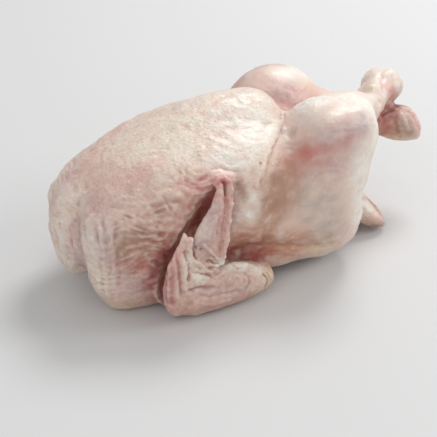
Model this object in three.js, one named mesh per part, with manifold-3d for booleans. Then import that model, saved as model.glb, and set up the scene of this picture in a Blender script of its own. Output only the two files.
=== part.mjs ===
// Whole raw chicken, plucked and drawn, lying on its back with the breast up and the legs crossed.
// Millimetres, +Z up. +X runs from the neck to the tail, and the side shown first is -Y.
// The origin lies on the flat stripe of the back that the bird rests on.
import * as THREE from 'three';
import { mergeVertices } from 'three/addons/utils/BufferGeometryUtils.js';
import Module from 'manifold-3d';

const wasm = await Module();
wasm.setup();

// ---- Driving sizes ------------------------------------------------------------------------
// A muscle has its middle, its [length, width, height], its pitch and yaw in degrees, and how
// square it is: 2 is an ellipsoid. Paired muscles are given for the +Y side.
const CAGE = { at: [-24, 0, 56], size: [208, 120, 116] };
const RUMP = { at: [68, 2, 48], size: [108, 96, 92] };
const BREAST = { at: [-22, 24, 75], size: [176, 92, 94], pitch: -9, yaw: -3 };
const CROP = { at: [-94, 31, 62.5], size: [58, 48, 50] };
const SHOULDER = { at: [-76, -38, 30], size: [68, 40, 62] };
const THIGH = { at: [44, 44, 54], size: [116, 52, 84], pitch: -24, square: 2.4 };
const HAUNCH = { at: [72, 38, 50], size: [54, 56, 90], pitch: -14, square: 2.8 };
const VENT = { at: [120, 2, 50], size: [32, 48, 12] };

// The legs cross at the hocks, so the two sides differ.
const NEAR_LEG = { knee: [83, -38, 99], kneeSize: [66, 60, 66], square: 3.4, hock: [174, 28, 100] };
const FAR_LEG = { knee: [82, 52, 92], kneeSize: [74, 58, 66], square: 2.2, hock: [183, 8, 70] };
const DRUMSTICK_RADII = [23, 19, 13, 12];
const KNUCKLE = { size: [25, 19, 25], apart: 14 };

// A wing is folded flat in a Z: shoulder, elbow, wrist, tip. Points are for the +Y side.
const WING = {
  shoulder: [-80, 38, 42],
  upperMiddle: [-45, 50, 30],
  elbow: [-4, 64, 16],
  foreMiddle: [-32, 66, 18],
  wrist: [-59, 62, 19],
  palm: [-45, 69, 50],
  finger: [-33, 69, 82],
  tip: [-26, 62, 105],
  thumbRoot: [-66, 63, 26],
  thumbMiddle: [-65, 69, 48],
  thumbTip: [-61, 70, 74],
};
const UPPER_ARM_RADII = [16, 18, 14];
const FOREARM_RADII = [14, 18, 19];
const HAND_RADII = [19, 15, 11, 6];
const THUMB_RADII = [15, 10, 5];
const HAND_FLATNESS = 0.6;
const FAR_TIP_DROP = 11; // the far wing's tip lies lower on the breast

const BACK = { points: [[-50, 0, 23], [80, 0, 23]], radii: [24, 24] };
const KEEL = { points: [[-74, 4, 76], [-4, 4, 114], [30, 4, 111]], radii: [22, 21, 25] };
const NECK_FLAP = { points: [[-104, -32, 60], [-106, -33, 34], [-100, -31, 13]], radii: [18, 17, 13] };
const NECK_FOLD = { points: [[-112, 8, 60], [-116, 8, 36], [-116, 8, 22]], radii: [20, 16, 11] };
const TAIL = { points: [[96, 0, 36], [118, -4, 24], [133, -8, 15]], radii: [30, 22, 15], flatness: 0.62 };

// How far the skin bridges the valley between two forms.
const UNDER_ONE_SKIN = 20;
const SKIN_FOLD = 8;
const LAID_ON = 4;

const CELL = 6.3; // spacing of the net that the skin is made of
const ROOM = { low: [-150, -110, -20], high: [230, 120, 160] };

const vector = (xyz) => new THREE.Vector3(...xyz);
const sideOf = (xyz, side) => vector([xyz[0], xyz[1] * side, xyz[2]]);

// ---- Forms: each gives the distance from a point to its surface, negative inside ----------
const blend = (a, b, reach) => {
  const overlap = Math.max(reach - Math.abs(a - b), 0) / reach;
  return Math.min(a, b) - overlap * overlap * reach / 4;
};
const carve = (a, b, reach) => -blend(-a, b, reach);

function muscle({ at, size, pitch = 0, yaw = 0, square = 2 }, side = 1) {
  const centre = sideOf(at, side);
  const half = vector(size).multiplyScalar(0.5);
  const turn = new THREE.Euler(0, THREE.MathUtils.degToRad(pitch), THREE.MathUtils.degToRad(yaw * side));
  const unturn = new THREE.Quaternion().setFromEuler(turn).invert();
  const q = new THREE.Vector3();
  return (p) => {
    q.copy(p).sub(centre).applyQuaternion(unturn).divide(half);
    const reach = (Math.abs(q.x) ** square + Math.abs(q.y) ** square + Math.abs(q.z) ** square) ** (1 / square);
    const slope = q.divide(half).length();
    return slope < 1e-9 ? -Math.min(half.x, half.y, half.z) : reach * (reach - 1) / slope;
  };
}

// Round sections of changing radius along a smooth curve, pressed flat across `normal` if given.
function limb(points, radii, normal = null, flatness = 1) {
  const press = (v) => (normal ? v.addScaledVector(normal, v.dot(normal) * (1 / flatness - 1)) : v);
  const curve = new THREE.CatmullRomCurve3(points, false, 'centripetal');
  const steps = 6 * (points.length - 1);
  const knots = [];
  for (let i = 0; i <= steps; i++) {
    const u = i / steps * (radii.length - 1);
    const j = Math.min(Math.floor(u), radii.length - 2);
    const radius = THREE.MathUtils.lerp(radii[j], radii[j + 1], THREE.MathUtils.smoothstep(u - j, 0, 1));
    knots.push({ at: press(curve.getPoint(i / steps)), radius });
  }
  const here = new THREE.Vector3();
  const along = new THREE.Vector3();
  const offset = new THREE.Vector3();
  return (p) => {
    press(here.copy(p));
    let nearest = Infinity;
    for (let i = 0; i < steps; i++) {
      const [a, b] = [knots[i], knots[i + 1]];
      along.subVectors(b.at, a.at);
      offset.subVectors(here, a.at);
      const t = THREE.MathUtils.clamp(offset.dot(along) / along.lengthSq(), 0, 1);
      const distance = offset.addScaledVector(along, -t).length();
      nearest = Math.min(nearest, distance - THREE.MathUtils.lerp(a.radius, b.radius, t));
    }
    return nearest;
  };
}

// ---- The bird's parts ------------------------------------------------------------------------
function torso() {
  const forms = [
    muscle(BREAST, 1),
    muscle(BREAST, -1),
    limb(KEEL.points.map(vector), KEEL.radii),
    limb(BACK.points.map(vector), BACK.radii),
    muscle(CAGE),
    muscle(SHOULDER),
    muscle(CROP, 1),
    muscle(CROP, -1),
    muscle(RUMP),
  ];
  return (p) => forms.reduce((d, form) => blend(d, form(p), UNDER_ONE_SKIN), Infinity);
}

function neckSkin() {
  const flap = limb(NECK_FLAP.points.map(vector), NECK_FLAP.radii);
  const fold = limb(NECK_FOLD.points.map(vector), NECK_FOLD.radii);
  return (p) => blend(flap(p), fold(p), SKIN_FOLD);
}

function tail() {
  const normal = new THREE.Vector3(-0.3, 0, 1).normalize();
  return limb(TAIL.points.map(vector), TAIL.radii, normal, TAIL.flatness);
}

// The end of a drumstick: two round condyles side by side across the shank.
function knuckle(hock, shank) {
  const across = new THREE.Vector3(0, 0, 1).cross(shank).normalize();
  const lobes = [-0.5, 0.5].map((s) => {
    const at = hock.clone().addScaledVector(across, s * KNUCKLE.apart).toArray();
    return muscle({ at, size: KNUCKLE.size });
  });
  return (p) => blend(lobes[0](p), lobes[1](p), LAID_ON);
}

function leg({ knee, kneeSize, square, hock }, side) {
  const from = vector(knee);
  const to = vector(hock);
  const thigh = muscle(THIGH, side);
  const haunch = muscle(HAUNCH, side);
  const cap = muscle({ at: knee, size: kneeSize, square });
  const stations = [0, 0.35, 0.75, 1].map((t) => from.clone().lerp(to, t));
  const drumstick = limb(stations, DRUMSTICK_RADII);
  const end = knuckle(to, to.clone().sub(from));
  return (p) => {
    let d = blend(thigh(p), haunch(p), UNDER_ONE_SKIN);
    d = blend(d, cap(p), UNDER_ONE_SKIN);
    d = blend(d, drumstick(p), SKIN_FOLD);
    return blend(d, end(p), SKIN_FOLD);
  };
}

function wing(side) {
  const drop = side > 0 ? FAR_TIP_DROP : 0;
  const at = (name, down = 0) => sideOf(WING[name], side).setZ(WING[name][2] - down);
  const flat = new THREE.Vector3(0.1, side, 0.25).normalize();
  const upper = limb([at('shoulder'), at('upperMiddle'), at('elbow')], UPPER_ARM_RADII);
  const fore = limb([at('elbow'), at('foreMiddle'), at('wrist')], FOREARM_RADII);
  const fingers = [at('wrist'), at('palm'), at('finger', drop / 2), at('tip', drop)];
  const hand = limb(fingers, HAND_RADII, flat, HAND_FLATNESS);
  const thumbBones = [at('thumbRoot'), at('thumbMiddle'), at('thumbTip', drop)];
  const thumb = limb(thumbBones, THUMB_RADII, flat, HAND_FLATNESS);
  return (p) => {
    let d = blend(fore(p), hand(p), SKIN_FOLD);
    d = blend(d, thumb(p), SKIN_FOLD);
    return blend(d, upper(p), SKIN_FOLD);
  };
}

function bird() {
  const trunk = [torso(), neckSkin(), tail()];
  const legs = [leg(NEAR_LEG, -1), leg(FAR_LEG, 1)];
  const vent = muscle(VENT);
  const wings = [wing(-1), wing(1)];
  return (p) => {
    let d = trunk.reduce((sum, form) => blend(sum, form(p), UNDER_ONE_SKIN * 0.7), Infinity);
    d = legs.reduce((sum, form) => blend(sum, form(p), SKIN_FOLD), d);
    d = carve(d, vent(p), SKIN_FOLD);
    return wings.reduce((sum, form) => blend(sum, form(p), LAID_ON), d);
  };
}

// ---- The skin: one closed net of triangles on the surface of the forms ---------------------
const AXES = [[1, 0, 0], [0, 1, 0], [0, 0, 1]];
const CORNERS = Array.from({ length: 8 }, (_, c) => [c & 1, (c >> 1) & 1, (c >> 2) & 1]);
const EDGES = CORNERS.flatMap((_, a) => [1, 2, 4].filter((bit) => !(a & bit)).map((bit) => [a, a | bit]));

// The corners of a cell, sorted into groups that hang together along its edges on one side of
// the surface.
function groupsOf(insideFlags) {
  const group = CORNERS.map((_, corner) => corner);
  for (let pass = 0; pass < CORNERS.length; pass++) {
    for (const [a, b] of EDGES) {
      if (insideFlags[a] !== insideFlags[b]) continue;
      group[a] = Math.min(group[a], group[b]);
      group[b] = group[a];
    }
  }
  return group;
}

// The surface passes a cell once if the cell has one group inside and one outside. In any other
// cell, the corner nearest to the surface in the smallest group changes sides.
function cornerToFlip(depths) {
  const group = groupsOf(depths.map((d) => d < 0));
  const names = [...new Set(group)];
  if (names.length <= 2) return -1;
  const sizeOf = (name) => group.filter((g) => g === name).length;
  const smallest = names.reduce((a, b) => (sizeOf(b) < sizeOf(a) ? b : a));
  const members = CORNERS.map((_, corner) => corner).filter((corner) => group[corner] === smallest);
  return members.reduce((a, b) => (Math.abs(depths[b]) < Math.abs(depths[a]) ? b : a));
}

// One point in each cell of the room that the surface passes through, and one square of four
// points for each edge of the grid that it crosses.
function castNet(form) {
  const low = vector(ROOM.low);
  const [nx, ny, nz] = vector(ROOM.high).sub(low).divideScalar(CELL).ceil().toArray();
  const index = (i, j, k) => i + nx * (j + ny * k);
  const place = (xyz) => vector(xyz).multiplyScalar(CELL).add(low);
  const everyCell = (visit, start) => {
    for (let k = start; k < nz - 1; k++) {
      for (let j = start; j < ny - 1; j++) {
        for (let i = start; i < nx - 1; i++) visit(i, j, k);
      }
    }
  };

  const depth = new Float64Array(nx * ny * nz).fill(1);
  everyCell((i, j, k) => { depth[index(i, j, k)] = form(place([i, j, k])); }, 1);

  const cornersOf = (i, j, k) => CORNERS.map(([a, b, c]) => index(i + a, j + b, k + c));
  for (let tangled = true; tangled;) {
    tangled = false;
    everyCell((i, j, k) => {
      const corners = cornersOf(i, j, k);
      const flip = cornerToFlip(corners.map((corner) => depth[corner]));
      if (flip < 0) return;
      depth[corners[flip]] *= -0.5;
      tangled = true;
    }, 0);
  }

  const pointOf = new Int32Array(depth.length);
  const points = [];
  everyCell((i, j, k) => {
    const at = cornersOf(i, j, k).map((corner) => depth[corner]);
    const crossed = EDGES.filter(([a, b]) => (at[a] < 0) !== (at[b] < 0));
    if (crossed.length === 0) return;
    const middle = new THREE.Vector3();
    for (const [a, b] of crossed) {
      middle.add(vector(CORNERS[a]).lerp(vector(CORNERS[b]), at[a] / (at[a] - at[b])));
    }
    middle.divideScalar(crossed.length);
    pointOf[index(i, j, k)] = points.length;
    points.push(place([i + middle.x, j + middle.y, k + middle.z]));
  }, 0);

  const squares = [];
  everyCell((i, j, k) => {
    const inside = depth[index(i, j, k)] < 0;
    AXES.forEach(([a, b, c], axis) => {
      if (inside === depth[index(i + a, j + b, k + c)] < 0) return;
      const u = AXES[(axis + 1) % 3];
      const v = AXES[(axis + 2) % 3];
      const back = (s, t) => pointOf[index(i - s * u[0] - t * v[0], j - s * u[1] - t * v[1], k - s * u[2] - t * v[2])];
      const square = [back(1, 1), back(0, 1), back(0, 0), back(1, 0)];
      squares.push(inside ? square : square.reverse());
    });
  }, 1);
  return { points, squares };
}

function slopeOf(form, p) {
  const h = 0.5;
  const q = new THREE.Vector3();
  const rise = AXES.map(([x, y, z]) => {
    const ahead = form(q.set(p.x + x * h, p.y + y * h, p.z + z * h));
    return (ahead - form(q.set(p.x - x * h, p.y - y * h, p.z - z * h))) / (2 * h);
  });
  return vector(rise);
}

// Slides each point towards the middle of its neighbours, along the surface and back on to it.
function settle({ points, squares }, form) {
  const sums = points.map(() => new THREE.Vector3());
  const counts = new Uint8Array(points.length);
  for (const square of squares) {
    square.forEach((a, corner) => {
      const b = square[(corner + 1) % 4];
      sums[a].add(points[b]);
      sums[b].add(points[a]);
      counts[a]++;
      counts[b]++;
    });
  }
  points.forEach((p, i) => {
    const slope = slopeOf(form, p);
    const pull = sums[i].divideScalar(counts[i]).sub(p);
    pull.addScaledVector(slope, -pull.dot(slope) / Math.max(slope.lengthSq(), 1e-6));
    p.addScaledVector(pull, 0.5);
    for (let step = 0; step < 2; step++) {
      const normal = slopeOf(form, p);
      p.addScaledVector(normal, -form(p) / Math.max(normal.lengthSq(), 0.2));
    }
  });
}

// Each square becomes two triangles, split along its shorter diagonal.
function triangulate({ points, squares }) {
  const triangles = squares.flatMap(([a, b, c, d]) => {
    const short = points[a].distanceTo(points[c]) < points[b].distanceTo(points[d]);
    return short ? [a, b, c, a, c, d] : [a, b, d, b, c, d];
  });
  const geometry = new THREE.BufferGeometry().setFromPoints(points);
  geometry.setIndex(triangles);
  return geometry;
}

// ---- Solids ------------------------------------------------------------------------------------
function toSolid(geometry) {
  return new wasm.Manifold(new wasm.Mesh({
    numProp: 3,
    vertProperties: new Float32Array(geometry.attributes.position.array),
    triVerts: new Uint32Array(geometry.index.array),
  }));
}

function toGeometry(solid) {
  const { vertProperties, triVerts } = solid.getMesh();
  const geometry = new THREE.BufferGeometry();
  geometry.setAttribute('position', new THREE.BufferAttribute(new Float32Array(vertProperties), 3));
  geometry.setIndex(new THREE.BufferAttribute(new Uint32Array(triVerts), 1));
  geometry.computeVertexNormals();
  return geometry;
}

// All that is above the level the bird lies on.
function spaceAbove() {
  const width = 1000;
  const box = new THREE.BoxGeometry(width, width, width).translate(0, 0, width / 2);
  box.deleteAttribute('normal');
  box.deleteAttribute('uv');
  return toSolid(mergeVertices(box));
}

const form = bird();
const net = castNet(form);
for (let round = 0; round < 4; round++) settle(net, form);
const lying = toSolid(triangulate(net)).intersect(spaceAbove());

const skin = new THREE.MeshStandardMaterial({ color: 0xdcc3b6, roughness: 0.5, metalness: 0 });
const chicken = new THREE.Mesh(toGeometry(lying), skin);
chicken.name = 'chicken';

const part = new THREE.Group();
part.add(chicken);
export default part;
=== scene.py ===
"""A whole raw chicken on its back, dressed over its CAD solid.

Blender's units are metres. Shapes and places here are given in millimetres and multiplied by MM.
The near side is -Y, and the neck end is -X.
"""
import math

import bmesh
import bpy
import numpy as np
from mathutils import Matrix, Vector


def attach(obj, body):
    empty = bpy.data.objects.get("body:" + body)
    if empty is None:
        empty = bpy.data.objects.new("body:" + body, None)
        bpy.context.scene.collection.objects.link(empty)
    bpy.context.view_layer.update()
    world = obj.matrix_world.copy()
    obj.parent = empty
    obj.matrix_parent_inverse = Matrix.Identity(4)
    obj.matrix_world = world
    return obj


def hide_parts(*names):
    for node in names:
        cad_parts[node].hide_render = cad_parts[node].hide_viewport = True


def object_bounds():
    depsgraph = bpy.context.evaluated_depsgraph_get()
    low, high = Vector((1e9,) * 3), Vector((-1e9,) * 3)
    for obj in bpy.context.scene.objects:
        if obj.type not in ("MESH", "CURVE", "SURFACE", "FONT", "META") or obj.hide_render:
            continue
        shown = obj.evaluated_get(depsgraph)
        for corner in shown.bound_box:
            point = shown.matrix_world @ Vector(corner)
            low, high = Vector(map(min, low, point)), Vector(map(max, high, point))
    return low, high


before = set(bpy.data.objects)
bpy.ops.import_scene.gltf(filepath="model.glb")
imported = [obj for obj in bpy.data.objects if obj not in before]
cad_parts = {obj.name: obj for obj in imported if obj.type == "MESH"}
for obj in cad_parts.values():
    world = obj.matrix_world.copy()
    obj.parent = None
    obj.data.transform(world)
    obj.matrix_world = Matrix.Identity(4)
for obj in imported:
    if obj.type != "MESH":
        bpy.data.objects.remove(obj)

bl_info = {
    "name": "Raw Chicken",
    "version": (1, 0, 0),
    "blender": (4, 5, 0),
    "location": "View3D > Sidebar > Chicken",
    "description": "Shapes and colours the skin of a whole raw chicken over its CAD solid",
    "category": "Object",
}

MM = 0.001
NODE = "chicken"
CAD_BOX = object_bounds()
FLOOR_LEVEL = CAD_BOX[0].z

# ---- Where things are on the bird, in millimetres ----
NEAR = -1
FAR = 1
FAR_TIP_DROP = 11  # the far wing's tip lies this much lower on the breast

# Straps of the near wing, folded: centre, half width, half thickness.
FINGER = (
    ((-45.5, -67, 34), 12, 8),
    ((-45, -69.5, 44), 12.6, 6.2),
    ((-45, -70.5, 53), 12.8, 5.2),
    ((-44.5, -71, 60.5), 12.3, 4.6),
    ((-43, -71.5, 67.5), 11.5, 4.2),
    ((-41, -71.5, 74.5), 10.2, 3.9),
    ((-39, -71.5, 80.5), 8.7, 3.6),
    ((-36.5, -71, 85.5), 7.2, 3.4),
    ((-34.5, -70.5, 90), 5.6, 3.2),
    ((-33, -69, 94.5), 4.3, 3),
    ((-31.5, -67.5, 98.5), 3.2, 2.7),
    ((-30, -65.5, 102), 2.2, 2.2),
    ((-29, -63.5, 104.5), 1.1, 1.2),
)
QUILL_EDGE = (
    ((-32.5, -67, 39), 2.4, 4),
    ((-32, -70, 46.5), 2.7, 4),
    ((-31, -72, 54), 2.8, 3.8),
    ((-30, -73, 62), 2.7, 3.7),
    ((-29.5, -73.5, 70), 2.7, 3.6),
    ((-28.5, -73.5, 77.5), 2.5, 3.5),
    ((-27, -72.5, 84.5), 2.4, 3.4),
    ((-26, -71.5, 90.5), 2.4, 3.3),
    ((-25, -70, 95.5), 2.5, 3.2),
    ((-23.5, -67.5, 100), 2.7, 3.1),
    ((-23, -64.5, 103), 2.8, 3),
    ((-25.5, -62, 105.5), 2.8, 2.8),
    ((-29.5, -61.5, 105), 2.5, 2.5),
    ((-33.5, -62, 101.5), 2, 2),
)
THUMB = (
    ((-64, -64, 7), 8.5, 7),
    ((-66, -67, 12), 10.2, 9.5),
    ((-68, -69.5, 20), 11, 9.5),
    ((-69, -71.5, 30), 11, 8.5),
    ((-68.5, -73, 41), 10.8, 7),
    ((-67.5, -74, 50), 10, 5.6),
    ((-66, -74.5, 57), 8.6, 4.4),
    ((-65, -74.5, 63), 6.6, 3.4),
    ((-64, -75, 68), 4.8, 2.8),
    ((-64, -74.5, 73), 2.8, 2),
    ((-64, -74, 77), 0.9, 1),
)
THUMB_NAIL = (
    ((-62, -75.5, 58), 4.2, 2.4),
    ((-61.5, -76, 64), 4, 1.9),
    ((-61, -76.5, 69), 3.6, 1.6),
    ((-61, -76.5, 73), 3.4, 1.3),
)
WRIST_WEB = (
    ((-61, -67, 12), 13.5, 11.5),
    ((-59, -69.5, 24), 15.5, 10.6),
    ((-57.5, -71.5, 34), 16, 8.8),
    ((-56, -72.5, 43), 14, 6.8),
    ((-54.5, -72.5, 50), 11, 4.8),
    ((-53.5, -72, 55.5), 8, 2.6),
)
FOREARM = (
    ((-68, -64, 14), 12, 12),
    ((-57, -66, 16.5), 16.2, 15.6),
    ((-44, -66.5, 18), 17.3, 16.5),
    ((-30, -66.5, 17.5), 17.1, 16.6),
    ((-16, -66, 16), 15.6, 15.8),
    ((-4, -65, 15), 14.2, 14.8),
    ((4, -63.5, 14), 12.6, 13.4),
    ((9.5, -62, 13.5), 10.2, 11.2),
    ((12.5, -61.5, 13), 6.6, 7.6),
)
WING_STRAPS = (FINGER, QUILL_EDGE, THUMB, THUMB_NAIL, WRIST_WEB, FOREARM)
WING_FACING = Vector((0.1, -1.0, 0.25))

# The bed on the trunk that a wing lies in: path, whose middle value is how far from the bird's
# middle plane the skin is pressed; reach; share.
WING_BED = (
    (((-24, 64, 90), (-30, 63, 74), (-34, 61, 54)), 15, 1),
    (((-36, 60, 84), (-43, 59, 68), (-47, 56, 48)), 15, 1),
    (((-30, 61, 98), (-35, 55, 85), (-41, 52, 74), (-48, 52, 65)), 7.5, 1),
    (((-53, 57, 66), (-60, 59, 58), (-66, 60, 50)), 12, 0.9),
    (((-66, 60, 48), (-70, 58, 38), (-71, 56, 24), (-70, 57, 6)), 12, 0.9),
    (((-60, 54, 16), (-40, 55, 16), (-16, 54, 14), (0, 53, 10)), 21, 1),
    (((-28, 58, 44), (-14, 58, 38), (0, 58, 30), (12, 59, 20)), 15, 0.75),
)
# Strokes over the skin, here and in the tables below: path, reach across it, height. A negative
# height presses the skin in.
NECK_FOLDS = (
    (((-121, -2, 83), (-125, -16, 73), (-126, -25, 61), (-126, -28, 48), (-120, -14, 25)), 7.5, -3.6),
    (((-127, -24, 62), (-127, -28, 50), (-125, -26, 38), (-119, -14, 24)), 3.6, -2.6),
    (((-131, -2, 67), (-131, -9, 51), (-127, -6, 32)), 1.7, -0.9),
    (((-133, 1, 55), (-131, 1, 40), (-128, 3, 26)), 1.8, -0.9),
    (((-130, -10, 56), (-128, -13, 44), (-123, -4, 24)), 1.6, 0.9),
    (((-128, -16, 50), (-126, -17, 40), (-121, -6, 22)), 1.5, -0.9),
    (((-131, -2.5, 64.5), (-132, -7, 54), (-128.5, -4.5, 38.5)), 4.1, 1.3),
    (((-128, -9.5, 69.5), (-128.5, -14, 58.5), (-126, -12, 44)), 2.6, -1.3),
    (((-132.5, 4, 60), (-132.5, 4.5, 49.5), (-131, 2, 37.5)), 2.9, -1.2),
    (((-117.5, -29.5, 84.5), (-122.5, -44.5, 69.5), (-122, -48.5, 48.5), (-119, -45.5, 24)), 4.1, 2.2),
    (((-113, -34, 87), (-118, -49.5, 73.5), (-116.5, -50, 48), (-113, -46.5, 20)), 2.9, 1),
    (((-118, -39.5, 80.5), (-121, -50, 66), (-119, -49, 43.5), (-116, -45, 20.5)), 2.2, -1.4),
    (((-112, -42, 84.5), (-114.5, -50.5, 68.5), (-113.5, -50.5, 45.5), (-110, -47, 17.5)), 2.3, -1.3),
    (((-105.5, -45, 86), (-108, -52.5, 72), (-108.5, -54.5, 54.5), (-106.5, -53, 29)), 2.9, -1.6),
    (((-108, -42.5, 87), (-111, -51.5, 71), (-110.5, -53, 49), (-108.5, -50.5, 22.5)), 2.2, 1),
    (((-125, -34, 41), (-121, -31, 25.5), (-115, -26, 12)), 3.8, -2.2),
    (((-128, 14, 68), (-129, 20, 52), (-128, 20, 38)), 3.8, 1.6),
    (((-122, 26, 76), (-124, 32, 62), (-123, 34, 46)), 3.8, -2.2),
    (((-118, 34, 80), (-120.5, 42, 66), (-120, 44, 48), (-116, 40, 30)), 3.8, 2),
    (((-112, 40, 83), (-115, 48, 68), (-115, 49, 50), (-112, 44, 30)), 2.9, -1.8),
)
BREAST_WRINKLES = (
    (((-101, -53.5, 77), (-97, -56.5, 76.5), (-92.5, -58, 75.5)), 1.5, -0.8),
    (((-88, -56.5, 78), (-83.5, -58.5, 76.5), (-78.5, -61, 74.5), (-74.5, -64, 72.5)), 1.7, -1),
    (((-91, -58.5, 70), (-85, -61, 70), (-78, -63, 66)), 1.8, -0.9),
    (((-105.5, -54, 68), (-99, -57.5, 69.5), (-94, -59.5, 67)), 1.6, -0.6),
    (((-101.5, -58.5, 64.5), (-95, -60, 64), (-89, -62.5, 60)), 1.8, -0.6),
    (((-74.5, -41, 104.5), (-71, -46.5, 102.5), (-66, -49.5, 102.5), (-60, -52, 103)), 1.7, -0.6),
    (((-58, -51, 104.5), (-54, -53.5, 104), (-46.5, -58.5, 101.5), (-41.5, -61.5, 99.5)), 1.7, -0.7),
    (((-70.5, -52.5, 99), (-69.5, -55, 97), (-68, -58, 91)), 1.3, -0.7),
    (((-68, -58, 91), (-66, -59, 94), (-59.5, -57.5, 95.5)), 1.5, -0.9),
    (((-56.5, -59, 94), (-53, -63, 91), (-46.5, -63, 90)), 1.5, -0.8),
    (((-57.5, -64.5, 87.5), (-54, -64, 89), (-51, -65, 86)), 1.4, -0.4),
    (((-83, -58, 83), (-78, -60, 81), (-71, -61, 80.5)), 1.6, -0.6),
    (((-81, -48, 96.5), (-79, -53.5, 93), (-76.5, -56.5, 86.5)), 1.5, -0.4),
    (((-65, -61.5, 86.5), (-62, -63.5, 83.5), (-61.5, -66.5, 80)), 1.6, -0.5),
    (((-74, -40, 105), (-73.5, -45.5, 102), (-72, -49.5, 98.5), (-70.5, -55.5, 94)), 1.4, 0.8),
    (((-70, -56, 95.5), (-68.5, -59.5, 88.5), (-61.5, -62, 91.5)), 1.4, 0.7),
    (((-79.5, -57, 83.5), (-75, -58, 84), (-71.5, -60.5, 84.5), (-67.5, -63.5, 82.5)), 1.6, 0.6),
    (((-88, -56.5, 81), (-82, -59.5, 80), (-77, -61.5, 78), (-72.5, -64, 76)), 1.5, 0.5),
    (((-91.5, -58.5, 74), (-84.5, -60.5, 73.5), (-78, -63, 70), (-72.5, -65, 68)), 1.5, 0.6),
    (((-102, -58, 55), (-99, -59.5, 55), (-95.5, -60, 52)), 1.3, 0.5),
    (((-106, -55.5, 63), (-101.5, -58, 60), (-96, -60.5, 58)), 1.6, 0.4),
    (((-86, -42, 101), (-80, -47, 98), (-76, -50, 95)), 2.2, -0.3),
)
# Single bumps and pits: place, reach, height.
PITS = (
    ((-95.5, -49, 85), 1.1, -1.8),
    ((-87.5, -53, 86), 1.1, -1.6),
    ((-79, -61, 79), 1.4, -1),
    ((-88.5, -59, 77.5), 1.3, -1),
    ((-77.5, -55, 89), 1.1, -0.9),
    ((7.5, -56.5, 106.5), 0.9, -1.4),
)
WING_SLIT = ((-27, -72, 102), (-28, -74, 97), (-28.5, -75, 91), (-29.5, -76, 85))
# Folds of the web and the small muscles on the wing.
WING_FOLDS = (
    (WING_SLIT, 1.1, -0.9),
    (((-50.5, -75, 64.5), (-46.5, -75.5, 60.5), (-42, -75.5, 54), (-37.5, -74.5, 47)), 1.3, 1.95),
    (((-45, -76, 52), (-38, -74.5, 45)), 0.9, 1.35),
    (((-41, -75, 51.5), (-34.5, -72.5, 44.5)), 0.9, 1.35),
    (((-47, -76, 50.5), (-41.5, -75.5, 45.5), (-35, -72.5, 41)), 1.1, -2.1),
    (((-59, -76.5, 55), (-55, -77, 50.5), (-47.5, -77, 42), (-41.5, -74, 35.5)), 1.5, 2.25),
    (((-61, -75.5, 73), (-60.5, -78, 70.5), (-63, -78, 65.5), (-59, -76.5, 55)), 1, 1.5),
    (((-66.5, -78, 65), (-64.5, -78.5, 59.5), (-64.5, -78.5, 55)), 1.1, -1.8),
    (((-58, -77, 71), (-58.5, -77, 65), (-57, -74, 57), (-55.5, -76.5, 53)), 1, -2.7),
    (((-66, -80, 31), (-56.5, -79.5, 30), (-48.5, -79, 28), (-41.5, -80, 27.5)), 1.6, -2.4),
    (((-61, -78.5, 46), (-52, -78.5, 40.5), (-40.5, -74, 33.5)), 1.2, -1.8),
    (((-56, -77.5, 48), (-50, -77, 44.5), (-41, -74.5, 40), (-31.5, -68, 35)), 1.2, -1.65),
    (((-33.5, -71.5, 42), (-19, -65.5, 32.5), (-9.5, -68.5, 30.5), (-1.5, -73, 27)), 2.6, 1.5),
    (((-15, -74, 29.5), (-12, -79, 23.5), (-17.5, -82, 17)), 1.4, -1.35),
    (((0.5, -75, 24), (4.5, -77, 18), (0.5, -77, 10)), 1, -2.25),
    (((4, -74, 23), (7.5, -76, 16.5), (4.5, -76, 10)), 1, -1.65),
    (((2.5, -74.5, 23.5), (6, -76.5, 17.5), (3, -77, 9.5)), 0.8, 1.35),
    (((-71.5, -75, 63.5), (-71, -79, 52.5), (-70, -80, 38), (-69, -79.5, 24)), 1.6, -2.1),
    (((-75, -75, 56.5), (-77.5, -76, 46.5), (-78.5, -76, 34), (-77, -75.5, 21.5)), 1.6, 1.35),
    (((-68.5, -78, 61), (-67, -79.5, 51.5), (-66.5, -79.5, 37.5), (-66, -79.5, 26.5)), 1.6, 1.8),
    (((-62.5, -78, 54.5), (-62, -78.5, 45.5), (-63.5, -79.5, 38)), 1.5, -2.1),
    (((-39.5, -74.5, 85.5), (-43, -75, 76), (-46.5, -76, 67)), 3, 1.05),
    (((-34.5, -75, 84), (-36.5, -76, 74), (-38.5, -76, 64)), 1.4, -0.9),
    (((-56, -80, 24), (-40, -82, 21), (-22, -82, 19)), 1.6, -1.05),
    (((-62, -80, 20), (-46, -82.5, 15), (-28, -83, 13)), 1.8, 0.75),
    (((-52, -80, 33), (-36, -80, 32), (-20, -77, 30)), 1.6, 0.9),
)
WING_PITS = (
    ((-55.5, -73.5, 62), 1.3, -1.8),
    ((-51, -75.5, 60), 1.2, -1.8),
    ((-59, -79.5, 40.5), 1.8, 1.5),
    ((-51, -78.5, 37.5), 1.8, 1.4),
    ((-46, -76.5, 41.5), 1.6, 1.2),
    ((-18.5, -71, 32), 1.1, -1),
)
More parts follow.
